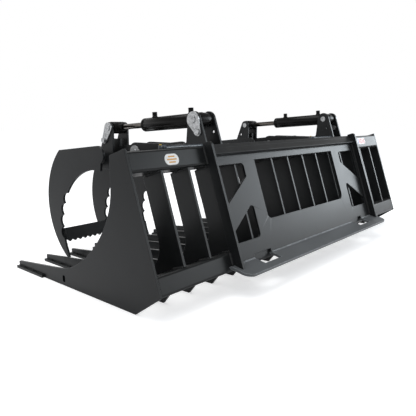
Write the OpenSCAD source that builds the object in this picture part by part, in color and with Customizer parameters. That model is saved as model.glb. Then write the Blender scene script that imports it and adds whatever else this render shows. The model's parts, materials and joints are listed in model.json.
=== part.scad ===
// Brush grapple for a skid-steer loader: a comb of upright tines with side plates, a hitch
// plate on its back, and two clamping arms, each closed by its own hydraulic cylinder.
// Millimetres. +Z up, the tines point to -Y, the hitch faces +Y, +X is the operator's left.
// The origin is on the ground, midway across the width and midway along the length.

/* [Overall] */
// Width over the outer faces of the side plates
overall_w = 1829; // [1500:1:2200]
// Reach of the tines, from the heel to the nose
floor_reach = 718; // [640:1:780]
// Thickness of the side plates and tines
plate_t = 10; // [6:0.5:14]
// Lean of the back from upright
back_tilt = 18.6; // [12:0.1:24]
// Length of the back along its lean, from the rear bottom corner to the top
back_len = 443; // [400:1:480]
// Run of the heel, from its point to the rear bottom corner
heel_run = 114; // [90:1:140]
// Rise of the heel, from its point to the rear bottom corner
heel_rise = 79.5; // [60:0.5:100]

/* [Tines] */
// Height of the tine nose above the ground
nose_h = 27; // [22:0.5:36]
// Distance from the heel forward to the low point of the throat
throat_run = 415; // [380:1:440]
// Height of the floor edge at the low point of the throat
throat_h = 60; // [50:1:80]
// Height at which the throat of a side plate meets its upright front edge
throat_top_z = 384; // [340:1:420]
// Fullness of the throat curve of a side plate
throat_fullness = 0.453; // [0.35:0.01:0.55]
// Depth of the upright part of a tine, square to the back
slat_depth = 87; // [78:1:110]
// Fillet between the floor and the upright part of a tine
slat_fillet = 90; // [60:1:120]
// Distance from the heel of a side plate forward to the heel of a tine
tine_heel_lead = 4; // [0:0.5:10]
// Angle above level at which the heel of a tine rises to the bottom beam
tine_heel_rise = 51; // [46:1:58]
// How far the side plates stand above the top beam
side_rise = 7; // [0:0.5:12]
// Width of the wear bar under each tine nose
tip_bar_w = 30; // [20:1:50]
// Thickness of the wear bar
tip_bar_t = 10; // [6:0.5:14]
// Length of the wear bar
tip_bar_len = 193; // [120:1:240]
// How far the wear bar stands ahead of the nose
tip_bar_lead = 3; // [0:0.5:10]
// Distance from the heel forward to the cross bar
cross_bar_run = 392; // [360:1:460]
// Height of the middle of the cross bar
cross_bar_z = 24; // [20:0.5:30]
// Thickness of the cross bar
cross_bar_t = 14; // [8:0.5:20]
// Height of the cross bar
cross_bar_h = 22; // [16:0.5:26]

/* [Beams] */
// Height of the top beam along the back
top_beam_h = 68; // [56:1:80]
// Depth of the top beam, square to the back
top_beam_d = 74; // [60:1:86]
// Height of the bottom beam along the back
low_beam_h = 66; // [50:1:80]
// Depth of the bottom beam, square to the back
low_beam_d = 50; // [36:1:60]
// Wall of both beams
beam_wall = 6; // [4:0.5:9]
// Outer corner radius of both beams
beam_corner = 9; // [6.5:0.5:12]

/* [Hitch] */
// Width of the hitch plate between its side gussets
hitch_w = 1120; // [1000:1:1160]
// Thickness of the hitch plate, its lip and its ledge
hitch_t = 10; // [6:0.5:12]
// Distance from the top of the back down to the bend of the ledge
hitch_drop = 425; // [400:1:436]
// How far the hitch plate stands above the top of the back
hitch_rise = 3; // [0:0.5:10]
// Length of the top lip
lip_len = 50; // [36:1:60]
// Angle between the top lip and the plate
lip_fold = 35.4; // [30:0.1:45]
// Depth of the bottom ledge from the bend
ledge_len = 80; // [70:1:95]
// How far the ledge falls below level
ledge_fall = 11; // [6:0.5:16]
// How far the ledge runs past each gusset
ledge_ear = 18; // [8:1:30]
// Corner radius of the ledge
ledge_corner = 35; // [20:1:45]
// Distance from the middle to the centre of each latch slot
latch_x = 400; // [380:1:430]
// Length of each latch slot across the ledge
latch_len = 105; // [90:1:120]
// Depth of each latch slot along the ledge
latch_depth = 46; // [36:1:54]
// Height of each latch slot above the bend
latch_rise = 14; // [8:1:24]
// Half width of the middle window
window_half = 316; // [280:1:330]
// Distance from the top of the back to the top edge of the window
window_top = 69; // [68:1:80]
// Distance from the top of the back to the bottom edge of the window
window_low = 302; // [270:1:330]
// Bottom corner radius of the window
window_corner = 28; // [15:1:40]
// Distance from the middle to the inner edge of the side cut-outs
cut_in = 386; // [372:1:396]
// Distance from the middle to the outer edge of the side cut-outs
cut_out = 542; // [525:1:550]
// Distance from the top of the back to the top of the upper side cut-out
cut_top = 77; // [70:1:86]
// Length of the straight inner edge of the upper side cut-out
cut_edge = 51; // [40:1:60]
// Width of the slanting strut between the cut-outs, measured down the plate
strut_w = 98; // [80:1:110]
// Drop of the slanting strut across the cut-outs
strut_drop = 100; // [80:1:110]
// Distance from the top of the back to the bottom of the lower side cut-out
cut_low = 357; // [340:1:372]
// Corner radius of the side cut-outs
cut_corner = 14; // [6:1:20]
// Depth of the side gussets behind the back, at their top
gusset_d = 38; // [32:1:46]
// Depth of the side gussets behind the back, at their foot
gusset_low_d = 42; // [38:1:52]
// Thickness of the side gussets
gusset_t = 10; // [6:0.5:14]
// How far the side gussets stand above the hitch plate
gusset_rise = 5; // [1:0.5:10]
// Corner radius of the side gussets
gusset_round = 14; // [4:0.5:17]

/* [Arm] */
// Distance from the middle to the centre claw of each arm
arm_x = 485; // [465:1:500]
// Spacing of the three claws of an arm
claw_pitch = 227; // [200:1:240]
// Thickness of the claws
claw_t = 10; // [6:0.5:14]
// Distance from the heel forward to the arm pivot
pivot_run = 435; // [425:1:445]
// Height of the arm pivot
pivot_z = 455; // [450:1:462]
// Radius of the claw root around the pivot
claw_root_r = 35; // [32:0.5:40]
// Angle below level at which the claw leaves its root
claw_root_turn = 60; // [45:1:75]
// Fall of the top edge of the claw from the pivot to the front
claw_top_fall = 5.9; // [2:0.1:8]
// Radius of the outer edge of the claw
claw_out_r = 285; // [281:0.5:288]
// Distance from the heel forward to the centre of the outer edge
claw_out_run = 521; // [515:1:530]
// Height of the centre of the outer edge
claw_out_z = 241; // [238:0.5:246]
// Radius of the inner edge of the claw
claw_in_r = 257; // [252:1:260]
// Distance from the heel forward to the centre of the inner edge
claw_in_run = 446; // [440:1:452]
// Height of the centre of the inner edge
claw_in_z = 139; // [134:1:144]
// Distance from the heel forward to the straight inner edge of the claw tip
claw_tip_run = 671; // [668:0.5:676]
// Height of the closed claw tip above the ground
claw_tip_z = 5; // [3:0.5:10]
// Radius of the scallops on the inner edge
scallop_r = 28; // [22:1:32]
// Depth of the scallops
scallop_depth = 16; // [10:0.5:20]
// Distance between scallops along the inner edge
scallop_pitch = 53; // [48:1:60]
// Angle of the first scallop on the inner edge, above level
scallop_start = 29; // [25:0.5:34]
// Radius of the cross tube
cross_tube_r = 30; // [24:0.5:34]
// Wall of the cross tube
cross_tube_wall = 6; // [4:0.5:8]
// Distance from the heel forward to the cross tube
cross_tube_run = 690; // [680:1:694]
// Height of the cross tube
cross_tube_z = 415; // [408:1:418]
// Radius of the arm hub
hub_r = 27; // [22:0.5:30]
// Height of the serrated plate
tooth_plate_h = 62; // [50:1:70]
// Thickness of the serrated plate
tooth_plate_t = 10; // [6:0.5:12]
// Lean of the serrated plate from upright
tooth_plate_tilt = 15; // [8:0.5:22]
// How far the middle of the serrated plate lies ahead of the straight inner edge of the claw tip
tooth_plate_lead = 34; // [29:0.5:41]
// Height of the middle of the serrated plate
tooth_plate_z = 96; // [88:1:104]
// Depth of the teeth
tooth_d = 10; // [6:0.5:14]
// Flat left beside the row of teeth
tooth_margin = 6; // [2:0.5:12]

/* [Brackets] */
// Clear gap between the two bracket plates, and between the two lugs
fork_gap = 70; // [62:1:80]
// Thickness of the bracket plates
bracket_t = 10; // [6:0.5:12]
// Radius of the bracket around the arm pivot
bracket_root_r = 41; // [38:0.5:44]
// Distance from the heel forward to the cylinder base pin
tower_run = 109; // [104:1:114]
// Height of the cylinder base pin
tower_z = 588; // [580:1:596]
// Radius of the tower top
tower_r = 30; // [26:0.5:33]
// Width of the tower foot ahead of the base pin
tower_front = 39; // [36:0.5:44]
// Width of the tower foot behind the base pin
tower_rear = 64; // [56:0.5:66]
// Distance from the heel forward to the rod pin
lug_run = 606; // [602:1:610]
// Height of the rod pin
lug_z = 552; // [546:1:558]
// Radius of the lug top
lug_r = 24; // [22:0.5:27]
// Thickness of the lugs
lug_t = 10; // [6:0.5:12]
// Radius of the lug around the cross tube
lug_root_r = 42; // [38:0.5:45]
// How far the front foot of the lug stands ahead of the rod pin
lug_front = 59; // [54:0.5:64]
// How far the front foot of the lug lies below the rod pin
lug_front_drop = 82; // [76:0.5:90]
// How far the web between the lugs stays below the rod pin
lug_web_drop = 47; // [44:0.5:60]
// Radius of the fillet between the tower and the neck of a bracket
neck_fillet = 15; // [6:0.5:24]
// Radius of the base pin and the rod pin
pin_r = 12.5; // [10:0.1:13]
// Radius of the arm pivot pin
pivot_pin_r = 15; // [12:0.1:17]
// Running clearance of a pin or rod in its hole
fit_gap = 0.05; // [0.02:0.01:0.09]
// Side clearance of a hub or eye between its plates
side_gap = 2; // [1:0.1:4]
// Thickness of the pin retainers
retainer_t = 5; // [3:0.5:8]
// Radius of the small end of a retainer
retainer_r = 14; // [11:0.5:17]
// Distance from the base pin and the arm pivot to the bolt of their retainer
retainer_len = 50; // [46:1:56]
// Distance from the rod pin to the bolt of its retainer
lug_retainer_len = 61; // [56:1:64]
// How far the round of a retainer stays inside the edge of its plate
retainer_inset = 1; // [0.5:0.1:3]
// Angle of the base pin retainer below level
tower_retainer_fall = 62; // [56:1:68]
// Angle of the arm pivot retainer below level
pivot_retainer_fall = 30; // [20:1:40]
// Angle of the rod pin retainer below level
lug_retainer_fall = 61; // [58:1:64]
// Radius of the retainer bolts
bolt_r = 6; // [4:0.5:7]
// Half the width of the bolt heads and nuts over their flats
bolt_head_r = 10.5; // [8.5:0.5:11.5]
// Height of the bolt heads and nuts
bolt_head_h = 7.5; // [4:0.5:9]
// How far the pins stand out at each end
pin_end = 3; // [1:0.5:8]

/* [Cylinder] */
// Radius of the barrel
barrel_r = 27; // [24:0.5:30]
// Radius of the barrel bore
bore_r = 20; // [18:0.5:21]
// Distance from the base pin to the front end of the gland
barrel_len = 318; // [300:1:325]
// Distance from the base pin to the rear end of the barrel tube
barrel_start = 38; // [36:0.5:44]
// Length of the gland
gland_len = 24; // [16:1:30]
// Chamfer of the gland
gland_chamfer = 7; // [3:0.5:9]
// Radius of the rod
rod_r = 12; // [10:0.5:14]
// Length of the piston
piston_len = 34; // [24:1:44]
// Radius of the base eye and the rod eye
eye_r = 25.5; // [24:0.5:26]
// Radial clearance of the rod eye around its pin
eye_clearance = 6.6; // [6.5:0.1:7.5]
// Distance from the rod pin to the end of the rod eye neck
eye_neck_len = 44; // [34:1:50]
// Radius of the rod eye neck
eye_neck_r = 16; // [14:0.5:20]
// Radius of the port bosses
port_r = 10; // [8.5:0.5:12]
// Radius of the port holes
port_hole_r = 7; // [5:0.5:7.5]
// Height of the port bosses above the barrel axis
port_h = 47; // [38:1:54]
// Distance from the base pin to the rear port
port_rear = 52; // [50:1:60]
// Distance from the base pin to the front port
port_front = 251; // [220:1:270]

/* [Line] */
// Radius of the steel line on the top beam
line_r = 6; // [5:0.5:7.5]
// Distance from the rear face of the top beam to the line
line_set = 30; // [22:1:40]
// Length of the line from its bracket
line_len = 205; // [150:1:230]
// Length of the hex nut at the end of the line
line_nut_len = 14; // [10:1:18]
// Half the width of the hex nut over its flats, which rests on the beam
line_nut_half = 9; // [8:0.5:12]
// How much wider the upturned end is than the line
line_end_over = 0.5; // [0.3:0.1:1.5]
// Height of the upturned end above the line axis
line_end_h = 9; // [8:0.5:18]
// Radius of the cap
cap_r = 4; // [3:0.5:6]
// Thickness of the cap
cap_t = 3; // [2:0.5:5]

/* [Hidden] */
$fn = 48;
tine_count = 14;
tooth_count = 8;
scallop_count = 4;
curve_steps = 18;
claw_sides = 96;
fillet_steps = 8;
paint = "#34383a";
zinc = "#c9cccd";
dark_steel = "#232628";
bright_steel = "#d8dadc";
cap_yellow = "#d9b23a";
hex_sides = 6;
quarter_turn = 90;
half_turn = 180;
cut_over = 1;

tine_pitch = (overall_w - plate_t) / (tine_count + 1);
side_x = (overall_w - plate_t) / 2;
inner_w = overall_w - 2 * plate_t;

// Corners of the back in the side view, as [y, z]
back_low = [heel_run, heel_rise];
back_top = back_low + back_len * [-sin(back_tilt), cos(back_tilt)];

// A point given behind the back and up from its top, in the side view
function on_back(a, b) = back_top
    + a * [cos(back_tilt), sin(back_tilt)]
    + b * [-sin(back_tilt), cos(back_tilt)];

// Angle of the ledge from square to the back
ledge_angle = ledge_fall + back_tilt;
bend = on_back(hitch_t, -hitch_drop);
ledge_end = bend + ledge_len * [cos(ledge_fall), -sin(ledge_fall)];
claw_front_y = -claw_out_run - claw_out_r;
y_shift = -(claw_front_y + ledge_end[0]) / 2;

pivot = [-pivot_run, pivot_z];
tower = [-tower_run, tower_z];
lug = [-lug_run, lug_z];
cross_tube = [-cross_tube_run, cross_tube_z];
pin_span = norm(tower - lug);
ram_angle = atan2(tower[1] - lug[1], tower[0] - lug[0]);
fork_half = fork_gap / 2;
hub_half = fork_half - side_gap;
rod_eye_r = pin_r + eye_clearance;
claw_edge_top = claw_root_r * [-sin(claw_top_fall), cos(claw_top_fall)];

function unit(v) = v / norm(v);
function along(v) = atan2(v[1], v[0]);

// Unit vector at an angle above level
function heading(a) = [cos(a), sin(a)];

// Where the tangent from p touches the circle of radius r around c, on the side given by turn
function tangent(p, c, r, turn) = c + r * heading(along(p - c) + turn * acos(r / norm(p - c)));

// Where the line through p along u meets the line through q along v
function meet(p, u, q, v) =
    let (k = ((q[0] - p[0]) * v[1] - (q[1] - p[1]) * v[0]) / (u[0] * v[1] - u[1] * v[0]))
    p + k * u;

// Points of a round of radius r at corner c between the neighbours a and b
function fillet(a, c, b, r) =
    let (u = unit(a - c), v = unit(b - c))
    let (half = acos(u * v) / 2)
    let (mid = c + unit(u + v) * r / sin(half))
    let (p = c + u * r / tan(half), q = c + v * r / tan(half))
    let (from = along(p - mid), turn = along(q - mid) - from)
    let (sweep = turn > 180 ? turn - 360 : turn < -180 ? turn + 360 : turn)
    [for (i = [0 : fillet_steps]) mid + r * heading(from + sweep * i / fillet_steps)];

// Points of a cubic curve
function curve(p, c, d, q) = [
    for (i = [0 : curve_steps])
        let (t = i / curve_steps, s = 1 - t)
        s * s * s * p + 3 * s * s * t * c + 3 * s * t * t * d + t * t * t * q
];

// A side view profile in y and z, made into a plate of thickness t with its middle at x
module plate_at(x, t) {
    translate([x - t / 2, y_shift, 0]) rotate([90, 0, 90]) linear_extrude(t) children();
}

// A round bar across the width around the side view point p
module bar_at(p, r, x0, x1) {
    translate([x0, y_shift + p[0], p[1]]) rotate([0, 90, 0]) cylinder(r = r, h = x1 - x0);
}

// A hexagon across the width around the side view point p, r is half its width over flats
// and one of its flats faces up along the back
module hex_at(p, r, x0, x1) {
    translate([x0, y_shift + p[0], p[1]]) rotate([back_tilt + half_turn / hex_sides, 0, 0]) rotate([0, 90, 0])
        cylinder(r = r / cos(half_turn / hex_sides), h = x1 - x0, $fn = hex_sides);
}

// A rectangle with round corners, from the origin to w and h
module round_rect(w, h, r) {
    translate([r, 0]) square([w - 2 * r, h]);
    translate([0, r]) square([w, h - 2 * r]);
    for (x = [r, w - r], y = [r, h - r]) translate([x, y]) circle(r);
}

// The side view frame of the back: x is square to the back and rearward, y is up along it
module back_frame() {
    translate(back_top) rotate(back_tilt) children();
}

module tip_bar_notch() {
    translate([-floor_reach - cut_over, -cut_over])
        square([tip_bar_len - tip_bar_lead + cut_over, tip_bar_t + cut_over]);
}

module cross_bar_profile() {
    translate([-cross_bar_run - cross_bar_t / 2, cross_bar_z - cross_bar_h / 2])
        square([cross_bar_t, cross_bar_h]);
}

nose = [-floor_reach, nose_h];
throat_low = [-throat_run, throat_h];
floor_dir = unit(throat_low - nose);

// Side plates
beam_front_top = on_back(-top_beam_d, 0);
side_front_top = on_back(-top_beam_d, side_rise);
throat_top = [side_front_top[0], throat_top_z];

module side_plate_profile() {
    rise = throat_top_z - throat_h;
    run = throat_run + side_front_top[0];
    difference() {
        polygon(concat(
            [[-floor_reach, 0], [0, 0], back_low, on_back(0, side_rise), side_front_top],
            curve(throat_top, throat_top - [0, throat_fullness * rise],
                throat_low + throat_fullness * run * floor_dir, throat_low),
            [nose]
        ));
        tip_bar_notch();
        cross_bar_profile();
    }
}

module side_plate(side) {
    color(paint) plate_at(side * side_x, plate_t) side_plate_profile();
}

// Tines
slat_dir = [-sin(back_tilt), cos(back_tilt)];
slat_front_top = on_back(-slat_depth, -top_beam_h);
slat_corner = meet(slat_front_top, slat_dir, throat_low, floor_dir);
tine_heel = [-tine_heel_lead, 0];
low_beam_front = on_back(-low_beam_d, 0);
low_beam_top = low_beam_h - back_len;

module tine_profile() {
    difference() {
        polygon(concat(
            [
                [-floor_reach, 0],
                tine_heel,
                meet(tine_heel, heading(tine_heel_rise), low_beam_front, slat_dir),
                on_back(-low_beam_d, low_beam_top),
                on_back(0, low_beam_top),
                on_back(0, -top_beam_h),
                slat_front_top
            ],
            fillet(slat_front_top, slat_corner, nose, slat_fillet),
            [nose]
        ));
        tip_bar_notch();
        cross_bar_profile();
    }
}

module tine(number) {
    color(paint) plate_at(side_x - number * tine_pitch, plate_t) tine_profile();
}

tip_bar_front = y_shift - floor_reach - tip_bar_lead;

module tip_bars() {
    color(paint)
        for (number = [0 : tine_count + 1])
            translate([side_x - number * tine_pitch - tip_bar_w / 2, tip_bar_front, 0])
                cube([tip_bar_w, tip_bar_len, tip_bar_t]);
}

module cross_bar() {
    color(paint) plate_at(0, overall_w) cross_bar_profile();
}

// Beams
module beam_profile(d, h) {
    difference() {
        round_rect(d, h, beam_corner);
        translate([beam_wall, beam_wall])
            round_rect(d - 2 * beam_wall, h - 2 * beam_wall, beam_corner - beam_wall);
    }
}

module top_beam() {
    color(paint) plate_at(0, inner_w)
        back_frame() translate([-top_beam_d, -top_beam_h]) beam_profile(top_beam_d, top_beam_h);
}

module bottom_beam() {
    color(paint) plate_at(0, inner_w)
        back_frame() translate([-low_beam_d, -back_len]) beam_profile(low_beam_d, low_beam_h);
}

// Hitch plate: its face is laid out in x and in the distance down from the top of the back
lip_dir = [sin(lip_fold), -cos(lip_fold)];
lip_in = [-cos(lip_fold), -sin(lip_fold)];
lip_start = [0, hitch_rise];
lip_tip = lip_start + lip_len * lip_dir;
lip_under = lip_tip + hitch_t * lip_in;
plate_rear = [hitch_t, 0];
lip_root_top = meet(lip_start, lip_dir, plate_rear, [0, 1]);
lip_root_low = meet(lip_under, lip_dir, plate_rear, [0, 1]);

module window_cut() {
    translate([-window_half, -window_low + window_corner])
        square([2 * window_half, window_low - window_corner - window_top]);
    translate([-window_half + window_corner, -window_low])
        square([2 * (window_half - window_corner), window_corner + cut_over]);
    for (side = [-1, 1])
        translate([side * (window_half - window_corner), window_corner - window_low])
            circle(window_corner);
}

module side_cuts() {
    diag = cut_top + cut_edge;
    a = [cut_in, -cut_top];
    b = [cut_out, -cut_top];
    c = [cut_out, -diag - strut_drop];
    d = [cut_in, -diag];
    polygon(concat([b, c, d], fillet(d, a, b, cut_corner)));
    e = [cut_in, -diag - strut_w];
    f = [cut_out, -diag - strut_drop - strut_w];
    g = [cut_out, -cut_low];
    h = [cut_in, -cut_low];
    polygon(concat(fillet(h, e, f, cut_corner), [f, g], fillet(g, h, e, cut_corner)));
}

module latch_cuts(low, high) {
    for (side = [-1, 1])
        translate([side * latch_x - latch_len / 2, low]) square([latch_len, high - low]);
}

// Cuts drawn in x and in the distance up the back, made through the hitch plate
module through_plate() {
    translate([0, y_shift + back_top[0], back_top[1]]) rotate([back_tilt, 0, 0])
        translate([0, hitch_t + cut_over, 0]) rotate([90, 0, 0])
        linear_extrude(hitch_t + 2 * cut_over) children();
}

module hitch_plate() {
    color(paint) difference() {
        plate_at(0, hitch_w) back_frame()
            polygon([lip_start, lip_root_top, [hitch_t, -hitch_drop], [0, -hitch_drop]]);
        through_plate() {
            window_cut();
            side_cuts();
            mirror([1, 0]) side_cuts();
            latch_cuts(-hitch_drop - cut_over, -hitch_drop + latch_rise);
        }
    }
}

module hitch_lip() {
    color(paint) plate_at(0, hitch_w) back_frame()
        polygon([lip_root_top, lip_tip, lip_under, lip_root_low]);
}

// The ledge in side view, in the frame of the back
ledge_dir = [cos(ledge_angle), -sin(ledge_angle)];
ledge_down = [-sin(ledge_angle), -cos(ledge_angle)];
bend_face = [hitch_t, -hitch_drop];
ledge_low = bend_face + hitch_t * ledge_down;
ledge_half = hitch_w / 2 + gusset_t + ledge_ear;

module ledge_profile() {
    polygon([
        bend_face,
        bend_face + ledge_len * ledge_dir,
        ledge_low + ledge_len * ledge_dir,
        meet(ledge_low, ledge_dir, [0, 0], [0, 1]),
        [0, -hitch_drop]
    ]);
}

module ledge_plan() {
    difference() {
        union() {
            translate([-ledge_half, -hitch_t])
                square([2 * ledge_half, ledge_len - ledge_corner + hitch_t]);
            translate([ledge_corner - ledge_half, 0])
                square([2 * (ledge_half - ledge_corner), ledge_len]);
            for (side = [-1, 1])
                translate([side * (ledge_half - ledge_corner), ledge_len - ledge_corner])
                    circle(ledge_corner);
        }
        latch_cuts(-hitch_t - cut_over, latch_depth);
    }
}

module hitch_ledge() {
    color(paint) intersection() {
        plate_at(0, 2 * ledge_half) back_frame() ledge_profile();
        translate([0, y_shift + bend[0], bend[1]]) rotate([-ledge_fall, 0, 0])
            translate([0, 0, -2 * hitch_t]) linear_extrude(3 * hitch_t) ledge_plan();
    }
}

module gusset_profile() {
    slope = tan(ledge_angle);
    top = hitch_rise + gusset_rise;
    low = [gusset_low_d, -hitch_drop - (gusset_low_d - hitch_t) * slope];
    front_low = -hitch_drop + hitch_t * slope;
    back_frame() polygon(concat(
        [[0, front_low], low],
        fillet(low, [gusset_d, top], [0, top], gusset_round),
        [[0, top]]
    ));
}

module hitch_gussets() {
    color(paint)
        for (side = [-1, 1])
            plate_at(side * (hitch_w + gusset_t) / 2, gusset_t) gusset_profile();
}

// Brackets on the top beam, one pair for each arm
foot_rear = tower + [tower_rear, 0];
beam_top_rear = meet(foot_rear, [0, 1], back_top, [cos(back_tilt), sin(back_tilt)]);
beam_front_low = on_back(-top_beam_d, -top_beam_h);
neck_top = [tower[0] - tower_front, pivot[1] + bracket_root_r];
tower_bolt = tower + retainer_len * heading(-tower_retainer_fall);
pivot_bolt = pivot + retainer_len * heading(-pivot_retainer_fall);

module bracket_profile() {
    difference() {
        union() {
            translate(tower) circle(tower_r);
            translate(pivot) circle(bracket_root_r);
            polygon(concat(
                [beam_top_rear, tangent(beam_top_rear, tower, tower_r, 1), tower, tower - [tower_r, 0]],
                fillet(tower - [tower_r, 0], neck_top, pivot + [0, bracket_root_r], neck_fillet),
                [pivot + [0, bracket_root_r], pivot, pivot - [0, bracket_root_r]],
                [beam_front_low, beam_front_top]
            ));
        }
        translate(tower) circle(pin_r + fit_gap);
        translate(pivot) circle(pivot_pin_r + fit_gap);
        translate(tower_bolt) circle(bolt_r + fit_gap);
        translate(pivot_bolt) circle(bolt_r + fit_gap);
    }
}

module arm_side(side) {
    if (side > 0) children();
    else mirror([1, 0, 0]) children();
}

module brackets(side) {
    color(paint) arm_side(side)
        for (lean = [-1, 1])
            plate_at(arm_x + lean * (fork_half + bracket_t / 2), bracket_t) bracket_profile();
}

// Pins run through both plates and the retainer
fork_out = fork_half + bracket_t;

module fork_pin(p, r) {
    bar_at(p, r, arm_x - fork_out - pin_end, arm_x + fork_out + retainer_t + pin_end);
}

module tower_pins() {
    color(zinc) for (side = [-1, 1]) arm_side(side) fork_pin(tower, pin_r);
}

module pivot_pins() {
    color(zinc) for (side = [-1, 1]) arm_side(side) fork_pin(pivot, pivot_pin_r);
}

// A pear-shaped keeper around a pin at p, with its small end around a bolt
module retainer_profile(p, big_r, hole_r, bolt) {
    base = along(bolt - p);
    turn = quarter_turn - asin((big_r - retainer_r) / norm(bolt - p));
    difference() {
        union() {
            translate(p) circle(big_r);
            translate(bolt) circle(retainer_r);
            polygon([
                p + big_r * heading(base + turn),
                p + big_r * heading(base - turn),
                bolt + retainer_r * heading(base - turn),
                bolt + retainer_r * heading(base + turn)
            ]);
        }
        translate(p) circle(hole_r + fit_gap);
        translate(bolt) circle(bolt_r + fit_gap);
    }
}

frame_retainer_r = tower_r - retainer_inset;

module frame_retainers() {
    color(zinc) for (side = [-1, 1]) arm_side(side)
        translate([arm_x + fork_out + retainer_t / 2, 0, 0]) {
            plate_at(0, retainer_t) retainer_profile(tower, frame_retainer_r, pin_r, tower_bolt);
            plate_at(0, retainer_t) retainer_profile(pivot, frame_retainer_r, pivot_pin_r, pivot_bolt);
        }
}

// A bolt through a retainer and its plate, with a nut behind the plate
module retainer_bolt(p, plate) {
    face = arm_x + fork_half + plate + retainer_t;
    bar_at(p, bolt_r, arm_x + fork_half - bolt_head_h, face);
    hex_at(p, bolt_head_r, face, face + bolt_head_h);
    hex_at(p, bolt_head_r, arm_x + fork_half - bolt_head_h, arm_x + fork_half);
}

module frame_bolts() {
    color(zinc) for (side = [-1, 1]) arm_side(side) {
        retainer_bolt(tower_bolt, bracket_t);
        retainer_bolt(pivot_bolt, bracket_t);
    }
}

// Capped hydraulic line on the top beam, on the left of each bracket pair
line_p = on_back(-line_set, line_nut_half);
line_x0 = arm_x + fork_out;
line_x1 = line_x0 + line_len;
line_end_r = line_r + line_end_over;
line_end_x = line_x1 + line_end_r;

module each_line() {
    for (shift = [0, 2 * arm_x]) translate([-shift, 0, 0]) children();
}

module beam_lines() {
    color(dark_steel) each_line() {
        bar_at(line_p, line_r, line_x0, line_end_x);
        hex_at(line_p, line_nut_half, line_x1 - line_nut_len, line_x1);
        translate([line_end_x, y_shift + line_p[0], line_p[1] - line_end_r])
            cylinder(r = line_end_r, h = line_end_r + line_end_h);
    }
}

module line_caps() {
    color(cap_yellow) each_line()
        translate([line_end_x, y_shift + line_p[0], line_p[1] + line_end_h])
            cylinder(r = cap_r, h = cap_t);
}

// Claws
claw_in = [-claw_in_run, claw_in_z];
claw_out = [-claw_out_run, claw_out_z];

scallop_mid_r = claw_in_r + scallop_depth - scallop_r;

module claw_profile() {
    top = pivot + claw_edge_top;
    forward = [-cos(claw_top_fall), -sin(claw_top_fall)];
    reach = claw_out_r + claw_out_run - pivot_run;
    step = 2 * asin(scallop_pitch / 2 / claw_in_r);
    translate(pivot) circle(claw_root_r);
    difference() {
        intersection() {
            translate(claw_out) circle(claw_out_r, $fn = claw_sides);
            polygon([
                top,
                top + reach * forward,
                [claw_front_y - cut_over, claw_tip_z],
                [-claw_tip_run, claw_tip_z],
                [-claw_tip_run, claw_in[1]],
                claw_in,
                pivot + claw_root_r * heading(-claw_root_turn)
            ]);
        }
        translate(claw_in) circle(claw_in_r, $fn = claw_sides);
        for (i = [0 : scallop_count - 1])
            translate(claw_in + scallop_mid_r * heading(half_turn - scallop_start + i * step))
                circle(scallop_r);
    }
}

module end_claw(side, place) {
    color(paint) arm_side(side) plate_at(arm_x + place * claw_pitch, claw_t) claw_profile();
}

// The side view of a lug, from the rod pin down around the cross tube
lug_foot = lug - [lug_front, lug_front_drop];
lug_low = cross_tube[1] - lug_root_r;

module lug_outline() {
    translate(lug) circle(lug_r);
    translate(cross_tube) circle(lug_root_r);
    polygon([
        lug + [lug_r, 0],
        lug,
        tangent(lug_foot, lug, lug_r, -1),
        lug_foot,
        cross_tube - [lug_root_r, 0],
        cross_tube,
        [cross_tube[0], lug_low],
        [lug[0] + lug_r, lug_low]
    ]);
}

// The centre claw carries the web between its two lugs
module centre_claw(side) {
    color(paint) arm_side(side) plate_at(arm_x, claw_t) difference() {
        union() {
            claw_profile();
            intersection() {
                lug_outline();
                translate([claw_front_y, 0]) square([-claw_front_y, lug[1] - lug_web_drop]);
            }
        }
        translate(cross_tube) circle(cross_tube_r);
        translate(pivot) circle(hub_r);
    }
}

module cross_tube_piece(side) {
    half = claw_pitch - claw_t / 2;
    color(paint) arm_side(side) difference() {
        bar_at(cross_tube, cross_tube_r, arm_x - half, arm_x + half);
        bar_at(cross_tube, cross_tube_r - cross_tube_wall,
            arm_x - half - cut_over, arm_x + half + cut_over);
    }
}

module hub(side) {
    color(paint) arm_side(side) difference() {
        bar_at(pivot, hub_r, arm_x - hub_half, arm_x + hub_half);
        bar_at(pivot, pivot_pin_r + fit_gap, arm_x - fork_half, arm_x + fork_half);
    }
}

lug_bolt = lug - lug_retainer_len * heading(lug_retainer_fall);
lug_half = fork_half + lug_t;

module lug_profile() {
    difference() {
        lug_outline();
        translate(lug) circle(pin_r + fit_gap);
        translate(cross_tube) circle(cross_tube_r);
        translate(lug_bolt) circle(bolt_r + fit_gap);
    }
}

module lugs(side) {
    color(paint) arm_side(side)
        for (lean = [-1, 1])
            plate_at(arm_x + lean * (fork_half + lug_t / 2), lug_t) lug_profile();
}

module rod_pin(side) {
    color(zinc) arm_side(side)
        bar_at(lug, pin_r, arm_x - lug_half - pin_end, arm_x + lug_half + retainer_t + pin_end);
}

module lug_keeper(side) {
    color(zinc) arm_side(side) {
        plate_at(arm_x + lug_half + retainer_t / 2, retainer_t)
            retainer_profile(lug, lug_r - retainer_inset, pin_r, lug_bolt);
        retainer_bolt(lug_bolt, lug_t);
    }
}

// Serrated plates between the claws
module tooth_plate_face(w) {
    pitch = (w - 2 * tooth_margin) / tooth_count;
    polygon(concat(
        [[0, tooth_plate_h], [0, tooth_d], [tooth_margin, tooth_d]],
        [for (i = [0 : tooth_count - 1], s = [0, 1])
            [tooth_margin + (i + (s + 1) / 2) * pitch, s * tooth_d]],
        [[w, tooth_d], [w, tooth_plate_h]]
    ));
}

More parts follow.
